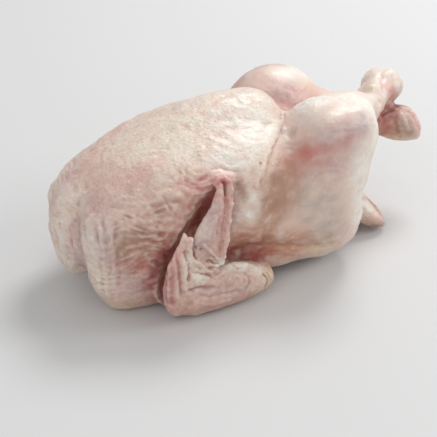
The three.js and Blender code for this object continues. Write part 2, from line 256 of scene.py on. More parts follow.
# Where the near leg's skin is pulled, as a whole: path, reach, how far.
LEG_PULLS = (
    (((118, -22, 119), (124, -34, 118)), 15, (0, 0, 7)),
    (((112, -58, 124), (108, -67, 112)), 10, (-3, 1.5, 2)),
    (((128, -26, 115), (122, -42, 120)), 8, (3.5, -1.5, 3.5)),
    (((112, -55, 80), (108, -55, 66)), 15, (-11, 6, 0)),
    (((136, -22, 27), (138, -23, 20)), 12, (3.5, -2, -9)),
    (((137, -8, 32), (142, -11, 26)), 9, (-2, 1, -8)),
    (((128, -25, 17), (134, -26, 12)), 14, (3, -9, 0)),
    (((120, 2, 116), (134, 8, 116)), 12, (0, 0, -7)),
    (((126, -20, 27), (137, -22, 20)), 15, (0, -2, -6)),
    (((124, 2, 36), (132, 0, 34), (142, -4, 30)), 15, (0, 0, -7)),
    (((138, -30, 9), (128, -31, 8), (120, -34, 7)), 9, (0, -4, -3)),
    (((118, -42, 20), (114, -50, 10)), 12, (3, -3, -2)),
    (((186, -8, 66),), 9, (3, -2.5, -1.5)),
    (((166, 4, 66), (160, 6, 68)), 8, (-1.5, 0, -1.5)),
)
# The vent, between the tail and the crossed shanks: its lips and its slit.
VENT = ((112, -22, 51), (108.5, -8, 49), (108.5, 8, 49), (112, 22, 51))
VENT_FOLDS = (
    (VENT, 9, 2.2),
    (VENT, 4, -9),
)
TAIL_SLIT = (((138, -30, 10), (130, -36, 7), (122, -42, 4)), 2.4, -2)
# Gristle, grooves and skin ends of both hocks.
HOCK_FORM = (
    ((148.5, 6.5, 112.5), 4.5, 2.6),
    ((175.5, 12, 103), 5, 2.4),
    ((178, 22, 110), 5, 1.6),
)
HOCK_FOLDS = (
    (((168, 22.5, 112.5), (161, 10, 110), (155.5, 0.5, 106)), 2.4, -1.1),
    (((164, 12, 106), (160, 5, 99), (154, -2, 95)), 1.6, 1.4),
    (((143, -11, 107.5), (152, 0, 98), (162, 7, 92), (172, 10, 85.5)), 2.2, -2),
    (((159, 6.5, 82.5), (166, 7.5, 85.5), (175, 9, 86.5)), 1.8, -2.6),
    (((157, 8, 87), (165, 8.5, 90), (174, 11, 91)), 1.8, 1.5),
    (((189.5, 4.5, 82), (192, -3, 77.5), (192, -6, 68)), 2.2, 1.4),
    (((185.5, 4.5, 84), (186.5, -3.5, 78), (186, -8.5, 68)), 1.8, -0.7),
    (((177, 4.5, 83), (176, -3.5, 79.5), (178, -7, 70.5)), 1.8, 0.9),
    (((170, 3.5, 82), (169.5, -2, 76), (171, -4, 68)), 2, -0.8),
    (((161.5, 6, 66.5), (169.5, -1.5, 63.5), (179, -6.5, 63.5), (189, -6, 64)), 2.2, 1.6),
)
# The bumps and pits that the quills leave beside the hand's back edge.
QUILL_OFFSET = (1, -3, 0)
QUILL_REACH = 1.4
QUILL_HEIGHT = 0.9
# The arch of skin over the wing's tip.
SKIN_ARCH = (
    (((-50, -62, 96), (-40, -60, 103), (-30, -60, 108), (-20, -61, 107), (-14, -63, 99)), 3.4, 0.7),
    (((-52, -58, 101), (-40, -56, 108), (-28, -55, 112), (-15, -57, 109), (-9, -62, 101)), 3, -0.7),
)
# Where the breast's skin laps over the thigh, where the two only meet below that, and the thigh's
# lower edge.
THIGH_CREASE = (
    (47.5, -21.5, 118.5), (29, -41.5, 114), (15.5, -54.5, 106.5), (6.5, -62, 99), (1, -65.5, 92),
)
THIGH_LAP = (THIGH_CREASE, 6, 1.8)
THIGH_LAP_LEAN = (-0.8, -0.2, 0.4)
THIGH_FOLDS = (
    (THIGH_CREASE, 2.2, -1.3),
    (((6.5, -62, 99), (-2, -67, 89), (-9, -70, 77), (-13, -69.5, 62.5), (-13, -62, 47)), 6, -1.2),
    (((-9, -60, 42), (5, -63, 39), (24, -67, 36), (46, -70, 30), (70, -70, 26)), 3, -1.2),
)
# Where a wing's web is gathered most: path, reach.
WEB_GATHERS = (((-58, -78, 46), (-48, -77, 44), (-38, -74, 40)), 9)
# Where the breast's skin is slackest, above the wing: path, reach.
SLACK_SKIN = (((-100, -52, 66), (-84, -58, 84), (-60, -60, 94), (-38, -60, 104)), 26)
# Where the skin is fine, with few pores: thigh, knee and shank. Each is a path and its reach.
FINE_SKIN = (
    (((20, -66, 70), (50, -68, 60), (84, -68, 60)), 34),
    (((60, -50, 112), (90, -50, 118), (116, -36, 112), (150, 0, 100)), 26),
)
COARSENESS_LOST = 0.75  # by the finest skin
WRIST_LEVEL = 30  # a wing stays as it is below this when its tip is raised,
TIP_LEVEL = 100  # and moves in full from here up

# ---- How the skin is made ----
WELD = 1e-6  # metres between corners that are one
ROUGH_NET = 2.2  # of the trunk, while the wings' beds are pressed in
TRUNK_RELAXING = 2  # rounds of smoothing after a new net
WING_RELAXING = 4
STRAP_SIDES = 32
FOLDED_OVER = 1.7  # radians between two faces, where one has been turned over
BED_RIM = 2.1  # how steep the rim of a wing's bed is
CURVE_STEPS = 8  # to a span of a path
FADE = 3  # reaches from its path at which a stroke has faded out
TAPER = 0.15  # share of a stroke's length over which each end fades
LAP_STEEPNESS = 0.22  # reach of a lap's steep side, as a share of the other's
WAVES = 28  # in a random field
WAVE_SPREAD = (0.6, 1.5)  # of their frequencies, about the one that suits the lumps' size
FIELD_HEIGHT = 0.6
RIDGE_STEEPNESS = 1.1
# Lumps of the skin: size, seed, height.
TRUNK_LUMPS = ((22, 11, 0.35), (9, 12, 0.22))
WING_LUMPS = ((9, 41, 0.3), (3.2, 43, 0.15))
# Heights on taut skin, and how much more they are where the skin is slack or gathered.
WRINKLE_HEIGHT = 0.36
WRINKLE_GAIN = 0.28
FINER_HEIGHT = 0.25
FINER_GAIN = 0.35
GATHER_HEIGHT = 0.18
GATHER_GAIN = 0.7


# ---- Mesh helpers ----
def add_strap(bm, stations):
    """A closed strap of oval sections through the stations."""
    facing = WING_FACING.normalized()
    centres = [Vector(centre) * MM for centre, _, _ in stations]
    rings = []
    for i, (_, half_width, half_depth) in enumerate(stations):
        ahead = (centres[min(i + 1, len(centres) - 1)] - centres[max(i - 1, 0)]).normalized()
        across = ahead.cross(facing).normalized()
        out = across.cross(ahead).normalized()
        axes = Matrix((across * half_width * MM, out * half_depth * MM, ahead))
        place = axes.transposed().to_4x4()
        place.translation = centres[i]
        verts = bmesh.ops.create_circle(bm, segments=STRAP_SIDES, radius=1, matrix=place)["verts"]
        rings.append(list({edge for vert in verts for edge in vert.link_edges}))
    for ring, following in zip(rings, rings[1:]):
        bmesh.ops.bridge_loops(bm, edges=ring + following)
    for ring in (rings[0], rings[-1]):
        bmesh.ops.contextual_create(bm, geom=ring)


def object_from(bm, name):
    """A new object in the scene from a bmesh, which it frees."""
    bmesh.ops.recalc_face_normals(bm, faces=bm.faces)
    mesh = bpy.data.meshes.new(name)
    bm.to_mesh(mesh)
    bm.free()
    obj = bpy.data.objects.new(name, mesh)
    bpy.context.scene.collection.objects.link(obj)
    return obj


def settle_modifiers(obj):
    """Applies the object's modifiers to its mesh."""
    graph = bpy.context.evaluated_depsgraph_get()
    mesh = bpy.data.meshes.new_from_object(obj.evaluated_get(graph))
    old = obj.data
    obj.modifiers.clear()
    obj.data = mesh
    mesh.name = old.name
    bpy.data.meshes.remove(old)


def remesh(obj, net, relaxing):
    """Gives the object one even skin over all that its mesh holds, and smooths it."""
    over = obj.modifiers.new("even skin", "REMESH")
    over.mode = "VOXEL"
    over.voxel_size = net * MM
    over.adaptivity = 0
    relax = obj.modifiers.new("relax", "SMOOTH")
    relax.factor = 0.5
    relax.iterations = relaxing
    settle_modifiers(obj)


def read_mesh(mesh):
    """Places and normals of a mesh's vertices, places in millimetres."""
    count = len(mesh.vertices)
    places = np.empty(count * 3)
    mesh.vertices.foreach_get("co", places)
    normals = np.empty(count * 3)
    mesh.vertex_normals.foreach_get("vector", normals)
    return places.reshape(-1, 3) / MM, normals.reshape(-1, 3)


def write_mesh(mesh, places):
    """Moves a mesh's vertices to places in millimetres."""
    mesh.vertices.foreach_set("co", (places * MM).ravel())
    mesh.update()


# ---- Fields over the skin: each takes places in millimetres ----
def lumps(places, size, seed, stretch=(1, 1, 1)):
    """A smooth random field from about -1 to 1, whose lumps are `size` across."""
    draw = np.random.default_rng(seed)
    directions = draw.normal(size=(WAVES, 3))
    directions /= np.linalg.norm(directions, axis=1)[:, None]
    waves = directions * (math.pi / size) * draw.uniform(*WAVE_SPREAD, WAVES)[:, None]
    phases = draw.uniform(0, 2 * math.pi, WAVES)
    total = np.sin(places / np.array(stretch) @ waves.T + phases).sum(axis=1)
    return total * math.sqrt(2 / WAVES) * FIELD_HEIGHT


def uneven(places, table, seed_shift=0):
    """Lumps of several sizes, as a table of them says."""
    return sum(height * lumps(places, size, seed + seed_shift) for size, seed, height in table)


def ridges(field, level):
    """Ridges, as high as the level, where a random field is zero, with dips between them."""
    return level - RIDGE_STEEPNESS * np.abs(field)


def smooth_path(path):
    """More points along a path, on a Catmull-Rom curve."""
    p = np.array(path, float)
    if len(p) < 3:
        return p
    ends = np.concatenate([[2 * p[0] - p[1]], p, [2 * p[-1] - p[-2]]])
    t = np.linspace(0, 1, CURVE_STEPS, endpoint=False)[:, None]
    spans = []
    for a, b, c, d in zip(ends, ends[1:], ends[2:], ends[3:]):
        spans.append(0.5 * (2 * b + (c - a) * t + (2 * a - 5 * b + 4 * c - d) * t ** 2
                            + (3 * b - a - 3 * c + d) * t ** 3))
    return np.concatenate(spans + [p[-1:]])


def nearest_on(places, path):
    """Each place's offset from the nearest point of the path, and how far along that is, 0 to 1."""
    route = smooth_path(path)
    if len(route) == 1:
        return places - route[0], np.zeros(len(places))
    best = np.full(len(places), np.inf)
    offset = np.zeros_like(places)
    along = np.zeros(len(places))
    for i, (a, b) in enumerate(zip(route, route[1:])):
        span = b - a
        t = np.clip((places - a) @ span / (span @ span), 0, 1)
        away = places - a - t[:, None] * span
        distance = np.einsum("ij,ij->i", away, away)
        closer = distance < best
        best[closer] = distance[closer]
        offset[closer] = away[closer]
        along[closer] = ((i + t) / (len(route) - 1))[closer]
    return offset, along


def in_reach(places, path, reach):
    """Which places the path's box reaches, and what nearest_on says of them."""
    route = np.array(path, float)
    low = route.min(axis=0) - FADE * reach
    high = route.max(axis=0) + FADE * reach
    few = np.flatnonzero(((places > low) & (places < high)).all(axis=1))
    return few, *nearest_on(places[few], path)


def falloff(offset, reach):
    """1 at no offset, and less with distance."""
    return np.exp(-np.einsum("ij,ij->i", offset, offset) / reach ** 2)


def near(places, path, reach):
    """A mask that is 1 on the path and falls off over `reach`."""
    mask = np.zeros(len(places))
    few, offset, _ = in_reach(places, path, reach)
    mask[few] = falloff(offset, reach)
    return mask


def stroke(places, path, reach, height):
    """How far a stroke lifts each place. A path of one point makes a bump or a pit."""
    lift = np.zeros(len(places))
    few, offset, along = in_reach(places, path, reach)
    lift[few] = height * falloff(offset, reach) * (taper(along) if len(path) > 1 else 1)
    return lift


def lap(places, path, reach, height, lean):
    """A lip of skin along a path: gentle on the side it leans to, steep on the other."""
    lift = np.zeros(len(places))
    few, offset, along = in_reach(places, path, reach)
    across = offset @ np.array(lean, float)
    distance = np.linalg.norm(offset, axis=1)
    width = np.where(across > 0, reach, reach * LAP_STEEPNESS)
    lift[few] = height * np.exp(-(distance / width) ** 2) * taper(along)
    return lift


def wobbled(places, size, amount, seeds):
    """Places shifted at random by about `amount`, so that what is drawn there wavers."""
    shift = np.stack([lumps(places, size, seed) for seed in seeds], axis=1)
    return places + amount * shift


def taper(along):
    """Fades a stroke out at both of its ends."""
    return np.clip(along / TAPER, 0, 1) ** 0.5 * np.clip((1 - along) / TAPER, 0, 1) ** 0.5


def as_near(places, side):
    """Places on one side as if that were the near side, so that one table serves both."""
    return places * (1, -side, 1)


def as_near_wing(places, side):
    """As as_near, with the far wing's tip raised to the near one's level."""
    return raised(as_near(places, side), FAR_TIP_DROP if side == FAR else 0)


def raised(places, lift):
    """Places with a wing's tip raised by `lift`, and its forearm left where it is."""
    moved = places.copy()
    moved[:, 2] += lift * np.clip((places[:, 2] - WRIST_LEVEL) / (TIP_LEVEL - WRIST_LEVEL), 0, 1)
    return moved


def coarseness(places):
    """How coarse the skin is: 1 over most of the bird, and less where FINE_SKIN says."""
    fine = np.zeros(len(places))
    for side in (NEAR, FAR):
        for path, reach in FINE_SKIN:
            fine += near(as_near(places, side), path, reach)
    return 1 - COARSENESS_LOST * np.clip(fine, 0, 1)


def slackness(places):
    """How slack the skin is, from 0 to 1: most on both sides of the breast, above the wings."""
    slack = near(places, *SLACK_SKIN) + near(as_near(places, FAR), *SLACK_SKIN)
    return np.clip(slack, 0, 1)


# ---- Settings that a user would change ----
class SkinSettings(bpy.types.PropertyGroup):
    """How fine the skin's nets are, and its colour"""
    fineness: bpy.props.FloatProperty(
        name="Fineness", description="Spacing of the finished skin's net, in metres",
        default=1.15 * MM, min=0.8 * MM, unit="LENGTH")
    wing_fineness: bpy.props.FloatProperty(
        name="Wing fineness", description="Spacing of the wings' net, in metres",
        default=0.8 * MM, min=0.5 * MM, unit="LENGTH")
    trunk_triangles: bpy.props.IntProperty(
        name="Trunk triangles", description="The trunk and legs have no more than these",
        default=130000)
    wing_triangles: bpy.props.IntProperty(
        name="Wing triangles", description="Each wing has no more than these",
        default=36000)
    skin_colour: bpy.props.FloatVectorProperty(
        name="Skin", description="Pale pink of the skin", subtype="COLOR", size=3,
        default=(0.72, 0.527, 0.435))


class StageSettings(bpy.types.PropertyGroup):
    """The floor's size and colour"""
    floor_size: bpy.props.FloatProperty(
        name="Floor", description="Length of the floor's sides", default=8.0, unit="LENGTH")
    floor_colour: bpy.props.FloatVectorProperty(
        name="Floor colour", description="Pale grey of the floor", subtype="COLOR", size=3,
        default=(0.62, 0.62, 0.62))


# ---- The bird ----
class CHICKEN_OT_skin(bpy.types.Operator):
    """Builds the whole bird's skin: trunk, legs and wings under one net"""
    bl_idname = "chicken.skin"
    bl_label = "Skin"

    def execute(self, context):
        settings = context.scene.chicken_skin
        body = copy_of_node(NODE, "skin")
        remesh(body, ROUGH_NET, TRUNK_RELAXING)
        press_beds(body.data)
        remesh(body, settings.fineness / MM, TRUNK_RELAXING)
        sculpt_trunk(body.data)
        thin_out(body, settings.trunk_triangles)
        wings = [folded_wing(side, settings.wing_fineness / MM) for side in (NEAR, FAR)]
        for wing in wings:
            thin_out(wing, settings.wing_triangles)
        join(body, wings)
        paint(body.data, settings.skin_colour)
        for polygon in body.data.polygons:
            polygon.use_smooth = True
        body.data.materials.clear()
        body.data.materials.append(skin_material())
        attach(body, "root")
        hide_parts(NODE)
        return {"FINISHED"}


def copy_of_node(node, name):
    """A merged and smoothed copy of a CAD node's mesh, in a new object."""
    bm = bmesh.new()
    bm.from_mesh(bpy.data.objects[node].data)
    bmesh.ops.remove_doubles(bm, verts=bm.verts, dist=WELD)
    obj = object_from(bm, name)
    rounder = obj.modifiers.new("rounder", "SUBSURF")
    rounder.levels = 1
    rounder.render_levels = 1
    settle_modifiers(obj)
    return obj


def thin_out(obj, most):
    """Merges the smallest triangles of flat skin until no more than `most` are left."""
    count = sum(len(polygon.vertices) - 2 for polygon in obj.data.polygons)
    if count > most:
        fewer = obj.modifiers.new("fewer", "DECIMATE")
        fewer.ratio = most / count
        settle_modifiers(obj)
        unfold(obj.data)


def unfold(mesh):
    """Evens out the few corners where thinning has turned a tiny face over."""
    bm = bmesh.new()
    bm.from_mesh(mesh)
    corners = set()
    for face in bm.faces:
        if sum(edge.calc_face_angle(0) > FOLDED_OVER for edge in face.edges) > 1:
            corners.update(face.verts)
    bmesh.ops.smooth_vert(
        bm, verts=list(corners), factor=1, use_axis_x=True, use_axis_y=True, use_axis_z=True)
    bm.to_mesh(mesh)
    bm.free()


def press_beds(mesh):
    """Presses the trunk straight in where both wings lie."""
    places, _ = read_mesh(mesh)
    for side in (NEAR, FAR):
        out = places[:, 1] * side
        seen_from_side = as_near_wing(places, side) * (1, 0, 1)
        for path, reach, share in WING_BED:
            offset, along = nearest_on(seen_from_side, [(x, 0, z) for x, _, z in path])
            route = smooth_path(path)
            bed = np.interp(along, np.linspace(0, 1, len(route)), route[:, 1])
            distance = np.linalg.norm(offset, axis=1)
            grip = share * np.exp(-(distance / reach) ** BED_RIM)
            out -= grip * np.maximum(out - bed, 0)
        here = places[:, 1] * side > 0
        places[here, 1] = out[here] * side
    write_mesh(mesh, places)


def sculpt_trunk(mesh):
    """Folds, creases, wrinkles and pits of the trunk and the legs."""
    places, normals = read_mesh(mesh)
    lift = np.zeros(len(places))
    wavering = wobbled(places, size=5.5, amount=1.0, seeds=(51, 1051, 2051))
    for path, reach, height in NECK_FOLDS + VENT_FOLDS:
        lift += stroke(wavering, path, reach, height)
    for place, reach, height in PITS + HOCK_FORM:
        lift += stroke(places, (place,), reach, height)
    for path, reach, height in HOCK_FOLDS + (TAIL_SLIT,):
        lift += stroke(places, path, reach, height)
    for side in (NEAR, FAR):
        beside_wing = as_near_wing(wavering, side)
        for path, reach, height in BREAST_WRINKLES + SKIN_ARCH:
            lift += stroke(beside_wing, path, reach, height)
        at_thigh = as_near(wavering, side)
        lift += lap(at_thigh, *THIGH_LAP, THIGH_LAP_LEAN)
        for path, reach, height in THIGH_FOLDS:
            lift += stroke(at_thigh, path, reach, height)
    lift += uneven(places, TRUNK_LUMPS)
    lift += wrinkles(places)
    places += normals * lift[:, None]
    for path, reach, move in LEG_PULLS:
        places += near(places, path, reach)[:, None] * np.array(move, float)
    places[:, 2] = np.maximum(places[:, 2], 0)
    write_mesh(mesh, places)


def wrinkles(places):
    """Fine slack folds that run round the breast's side, and faint ones everywhere."""
    slack = slackness(places)
    warped = wobbled(places, size=16, amount=4, seeds=(21, 22, 23))
    fine = lumps(warped, size=4.0, seed=24, stretch=(2.8, 1.8, 0.9))
    finer = lumps(warped, size=2.6, seed=25, stretch=(2.2, 1.6, 0.9))
    creases = ridges(fine, level=0.55) + (FINER_HEIGHT + FINER_GAIN * slack) * finer
    return (WRINKLE_HEIGHT + WRINKLE_GAIN * slack) * creases * coarseness(places)


def folded_wing(side, net):
    """One folded wing, closed all round."""
    bm = bmesh.new()
    for strap in WING_STRAPS:
        add_strap(bm, strap)
    wing = object_from(bm, "wing")
    remesh(wing, net, WING_RELAXING)
    places, normals = read_mesh(wing.data)
    lift = uneven(places, WING_LUMPS, side) + gathers(places, seed=45 + side)
    wavering = wobbled(places, size=4, amount=0.5, seeds=(52, 1052, 2052))
    for path, reach, height in WING_FOLDS:
        lift += stroke(wavering, path, reach, height)
    for place, reach, height in WING_PITS:
        lift += stroke(places, (place,), reach, height)
    for i, (centre, _, _) in enumerate(QUILL_EDGE):
        quill = np.add(centre, QUILL_OFFSET)
        lift += stroke(places, (quill,), QUILL_REACH, QUILL_HEIGHT if i % 2 else -QUILL_HEIGHT)
    places += normals * lift[:, None]
    if side == FAR:
        places = as_near(raised(places, -FAR_TIP_DROP), FAR)
        wing.data.flip_normals()
    places[:, 2] = np.maximum(places[:, 2], 0)
    write_mesh(wing.data, places)
    return wing


def gathers(places, seed):
    """Small gathers of a wing's skin, drawn out along the wing and highest on its web."""
    warped = wobbled(places, size=12, amount=2.5, seeds=(53, 1053, 2053))
    creases = ridges(lumps(warped, size=3.6, seed=seed, stretch=(2.4, 1.5, 0.9)), level=0.5)
    return creases * (GATHER_HEIGHT + GATHER_GAIN * near(places, *WEB_GATHERS))


def join(body, parts):
    """Makes the parts one closed skin with the body, and removes them."""
    group = bpy.data.collections.new("parts to join")
    for part in parts:
        group.objects.link(part)
    union = body.modifiers.new("join", "BOOLEAN")
    union.operation = "UNION"
    union.operand_type = "COLLECTION"
    union.collection = group
    union.solver = "MANIFOLD"
    settle_modifiers(body)
    bpy.data.collections.remove(group)
    for part in parts:
        bpy.data.meshes.remove(part.data)


# ---- The colours ----
# From 0 to 255: colours of raw poultry in even light, and colours of painted shade and painted
# highlight.
# Pale skin, and the colour of painted highlights on lit tops and edges.
PALE = (234, 230, 220)
BLUSH = (218, 164, 158)
BLOOD = (190, 102, 94)
RAW = (186, 92, 78)
# Dark red skin, and painted shade beside the thumb and in the hocks' crevice.
WINE = (150, 70, 72)
FLESH = (206, 136, 106)
FAT = (226, 206, 166)
# Lilac skin, and painted shade under the knee, in the neck's hollow and on the lower hock.
LILAC_AND_SHADE = (182, 158, 164)
GREY = (186, 170, 160)
SHADE = (184, 146, 126)
# Brown stains and pits, and painted shade on the thigh and the lower hock.
BROWN = (160, 118, 94)
# Painted shade in the skin's hollows.
HOLLOW_SHADE = (162, 102, 90)
# Painted shade, dark red, in deep nooks, hollows and slits.
DEEP_RED_SHADE = (120, 42, 28)
# Soft mottling all over: colour, size of its lumps, seed, strength.
MOTTLING = (
    (PALE, 34, 31, 0.4),
    (BLUSH, 22, 32, 0.3),
    (FAT, 16, 33, 0.15),
    (LILAC_AND_SHADE, 26, 34, 0.25),
)
RAGGEDNESS = ((7, 35, 0.35), (3, 37, 0.25))  # of a patch: size of its lumps, seed, strength
FAR_PALENESS = 0.35  # share of their strength that patches lose on the far side,
FAR_PALENESS_FROM = 40  # in full from here out
# Painted shade in hollows and painted highlight on ridges, by the skin's depth below its smoothed
# self.
HOLLOW_ROUNDS = 12  # of smoothing give the even skin that hollows are measured from
HOLLOW_SHADE_STRENGTH = 0.65  # of the painted shade in hollows,
SLIT_STRENGTH_LOST = 0.4  # and how much weaker it is by the wing's slit,
SLIT_REACH = 4  # within this
FULL_HOLLOW_SHADE = 0.6  # depth of a hollow that has its painted shade almost in full
RIDGE_HIGHLIGHT = 0.4  # of the painted highlight, in the pale colour, on ridges
FULL_RIDGE_HIGHLIGHT = 0.5
NEARLY_FLAT = 0.1  # share of those depths that shows no colour

# Patches of colour: colour, path, reach, strength. On the trunk and legs, given for the near side.
TRUNK_PATCHES = (
    # Painted highlight over the breast's top, where the light falls most.
    (PALE, ((-60, -20, 116), (-20, -14, 130), (20, -20, 126)), 26, 0.65),
    (PALE, ((-23, -52, 111), (-10, -51, 113), (4, -48, 115), (20, -30, 122)), 15, 0.85),
    (FAT, ((-61, -14, 117), (-50, -16, 120), (-38, -17, 124)), 12, 0.2),
    # Painted highlight on the near knee's top, and down its lit right corner and the thigh's right
    # edge.
    (PALE, ((65, -24, 130), (81, -27, 132), (94, -35, 131), (112, -44, 125)), 17, 1),
    (PALE, ((112, -48, 124), (106, -62, 116), (104, -66, 104)), 9, 0.8),
    (PALE, ((88, -68, 97), (88, -70, 81), (90, -70, 60), (94, -64, 40)), 14, 0.9),
    (GREY, ((40, -68, 80), (54, -71, 64), (60, -70, 46)), 20, 0.8),
    # Band below the near knee: pink and red skin, with painted shade in lilac and brown under the
    # drumstick.
    (LILAC_AND_SHADE, ((54, -64, 108), (64, -69, 104), (72, -69, 108)), 14, 0.5),
    (SHADE, ((29, -57, 98), (43, -57, 103), (54, -62, 111), (66, -66, 115)), 13, 0.85),
    (BLUSH, ((28, -55, 100), (43, -56, 105), (56, -62, 113)), 14, 0.4),
    (BLOOD, ((32, -57, 97), (42, -56, 102), (52, -61, 109)), 9, 0.35),
    (LILAC_AND_SHADE, ((62, -65, 118), (76, -65, 121), (92, -62, 122)), 9, 0.85),
    (BLOOD, ((50, -61, 109), (62, -66, 114), (74, -67, 116)), 9, 0.4),
    # Painted shadow that the breast casts on the thigh's left part.
    (SHADE, ((6, -67, 72), (11, -66, 80), (18, -63, 89), (26, -59, 95)), 12, 0.9),
    (SHADE, ((24, -67, 80), (17, -67, 68), (8, -66, 56)), 11, 0.9),
    (BROWN, ((22, -67, 78), (16, -66, 72)), 9, 0.35),
    (BROWN, ((8, -67, 76), (14, -65, 86), (22, -60, 94)), 8, 0.6),
    (BLUSH, ((-81, -30, 105), (-73, -30, 110), (-65, -32, 113)), 9, 0.6),
    (BLUSH, ((-97, -22, 99), (-110, -24, 90)), 12, 0.25),
    (BLUSH, ((-54, -54, 104), (-45, -60, 101), (-38, -62, 100)), 5, 0.7),
    (BLUSH, ((-40, -58, 106), (-28, -61, 108), (-22, -62, 105)), 6, 0.7),
    (BLOOD, ((-102, -59, 54), (-96, -60, 49), (-90, -61, 52)), 8, 0.8),
    (BROWN, ((-106, -54, 70), (-96, -58, 72), (-85, -61, 73), (-75, -64, 70)), 10, 0.75),
    (BROWN, ((-104, -57, 63), (-95, -60, 63), (-86, -62, 64)), 9, 0.7),
    (SHADE, ((-104, -57, 52), (-96, -60, 48), (-86, -62, 54)), 9, 0.3),
    # Painted light on the near side of the neck end and the lower breast, which face away from the
    # lamps.
    (PALE, ((-118, -44, 74), (-124, -44, 60), (-121, -47, 36)), 13, 0.45),
    (PALE, ((-110, -50, 30), (-98, -58, 24), (-86, -60, 24)), 13, 0.35),
    (BROWN, ((-74, -56, 88), (-66, -59, 92), (-54, -62, 91), (-46, -63, 89)), 7, 0.5),
    # Painted light on the far part of the neck end.
    (PALE, ((-121, -4, 82), (-128, -2, 68), (-131, 0, 52), (-129, 2, 38)), 13, 0.6),
    # Lilac skin with painted shade in the neck's broad hollow.
    (LILAC_AND_SHADE, ((-125, -19, 70), (-126, -26, 60), (-125, -26, 46), (-120, -14, 30)), 7, 0.7),
    (LILAC_AND_SHADE, ((-104, -57, 38), (-98, -59, 28)), 10, 0.4),
    (BLUSH, ((-104, -55, 32), (-108, -52, 20)), 8, 0.4),
    (FAT, ((-108, -46, 8), (-100, -50, 3), (-90, -52, 2)), 8, 0.6),
    (BROWN, ((-95.5, -49, 85), (-96, -49.5, 84)), 2.2, 0.9),
    (BROWN, ((-87.5, -53, 86), (-87, -54, 85)), 2, 0.8),
    (BROWN, ((-14, -62.5, 101.5), (-12.5, -64.5, 94.5), (-10.5, -66, 90), (-9, -67.5, 86)), 4, 1),
    (FAT, ((7.5, -59.5, 104.5), (13.5, -55, 107.5), (20.5, -50, 109.5)), 5, 0.3),
    (BROWN, ((7.5, -56.5, 106.5), (7, -57, 106)), 1.5, 0.8),
    (FLESH, ((-9, -61, 50), (5, -62, 43), (16, -64, 39), (32, -68, 36)), 12, 0.9),
    # Painted shade along the thigh's underside, by the floor.
    (BROWN, ((-6, -62, 46), (12, -66, 42), (36, -69, 36), (58, -70, 34)), 9, 0.65),
    (SHADE, ((-96, -54, 8), (-86, -57, 6)), 9, 0.5),
    # Painted highlight down the thigh's lit rear edge.
    (PALE, ((112, -56, 72), (110, -58, 50), (112, -54, 34)), 12, 0.7),
    (FAT, ((10, -66, 32), (30, -68, 28), (60, -69, 26)), 8, 0.4),
    # Painted highlight on the rump's lit edge by the tail.
    (PALE, ((130, -28, 26), (122, -38, 30)), 13, 0.9),
    (PALE, ((-4, -68, 87), (-7, -70, 74)), 6, 0.7),
    # Painted shade, dark red, in the nook between the forearm, the breast and the thigh.
    (DEEP_RED_SHADE, ((-22, -59, 38), (-9.5, -59, 33), (3, -60, 29)), 11, 1),
    (RAW, ((4, -62, 30), (20, -65, 28), (38, -68, 24)), 8, 0.5),
    # The hollow beside the near wing's hand and thumb: raw red skin with painted shade, darkest by the
    # wing's edge.
    (RAW, ((-31, -60, 95), (-35, -56, 84), (-40, -54, 74), (-46, -53, 66), (-54, -56, 60)), 8, 0.9),
    (DEEP_RED_SHADE, ((-35, -58, 84), (-40, -55, 74), (-46, -54, 65), (-52, -56, 60)), 6, 0.9),
    (WINE, ((-62, -54, 54), (-70, -53, 44), (-74, -50, 30), (-74, -48, 15), (-72, -46, 4)), 9, 0.95),
    (BLOOD, ((-40, -62, 94), (-50, -62, 82), (-62, -62, 68), (-74, -60, 52), (-80, -58, 30)), 13, 0.5),
    (BROWN, ((-44, -62, 90), (-54, -62, 78), (-64, -62, 66)), 8, 0.4),
    (WINE, ((-74, -62, 56), (-79, -62, 46), (-82, -60, 34), (-82, -58, 22)), 8, 0.75),
    (LILAC_AND_SHADE, ((-110, -24, 89), (-104, -36, 92), (-92, -40, 97)), 14, 0.4),
    (LILAC_AND_SHADE, ((-118, -46, 74), (-116, -52, 58)), 9, 0.35),
)
